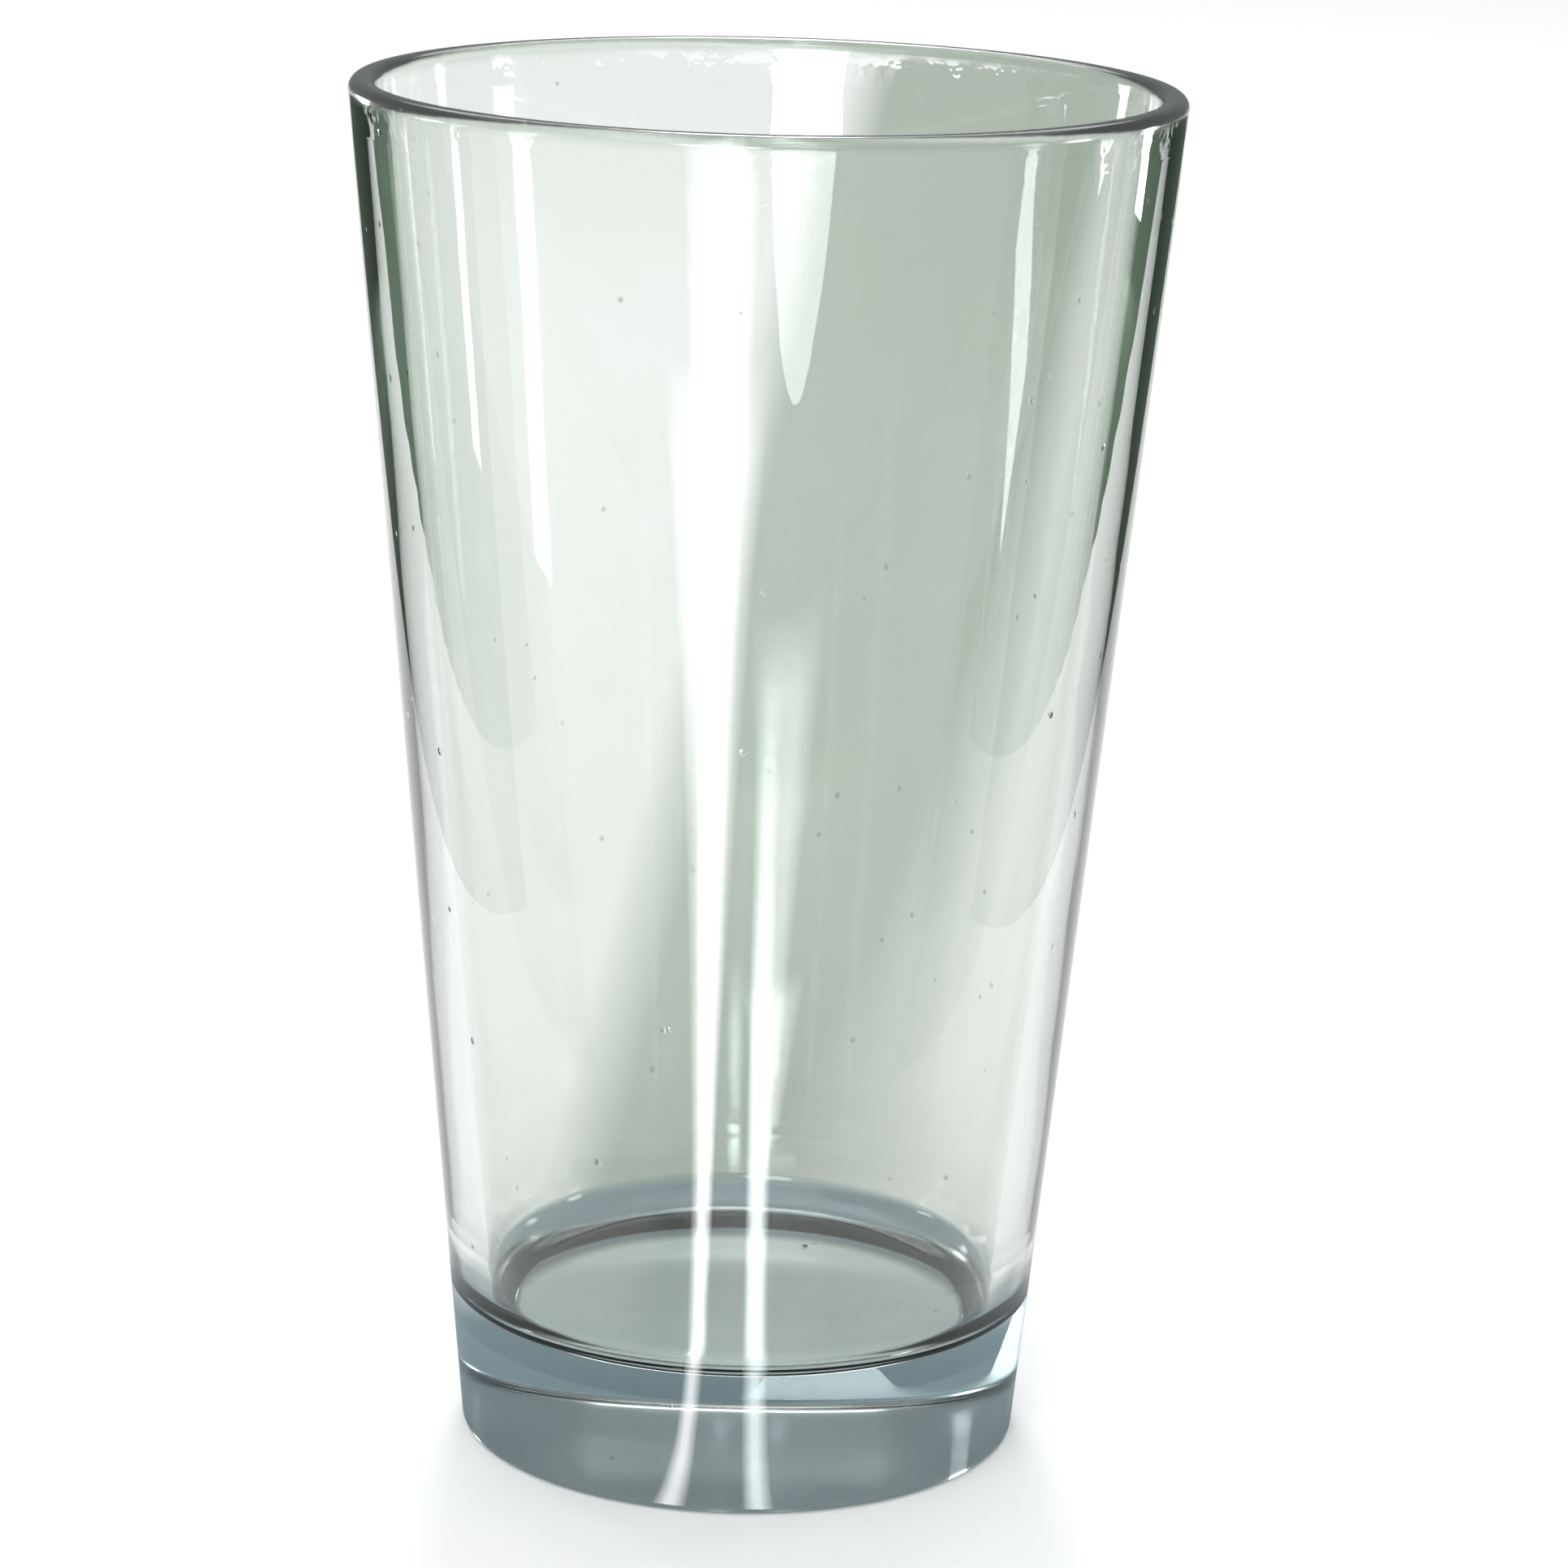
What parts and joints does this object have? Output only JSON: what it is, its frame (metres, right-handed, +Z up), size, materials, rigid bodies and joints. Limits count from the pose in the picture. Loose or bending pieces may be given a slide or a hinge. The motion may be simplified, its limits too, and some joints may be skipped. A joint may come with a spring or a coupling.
{
  "type": "mixing glass",
  "caption": "Tall tapered clear bar glass with a rounded lip, an open mouth and a thick solid clear base bonded under the cup.",
  "frame": {"origin": "centre of the face that the glass stands on", "axes": "+Z up along the glass's axis, from the foot to the mouth"},
  "size_m": [0.0886, 0.0886, 0.1492],
  "materials": {
    "cup_glass": "polished clear, faint green-grey tint",
    "clear_bond": "clear cured bond",
    "base_glass": "polished clear, faint blue-grey tint"
  },
  "bodies": {
    "root": {"glass_body": "cup_glass", "bond_layer": "clear_bond", "solid_base": "base_glass"}
  },
  "joints": []
}
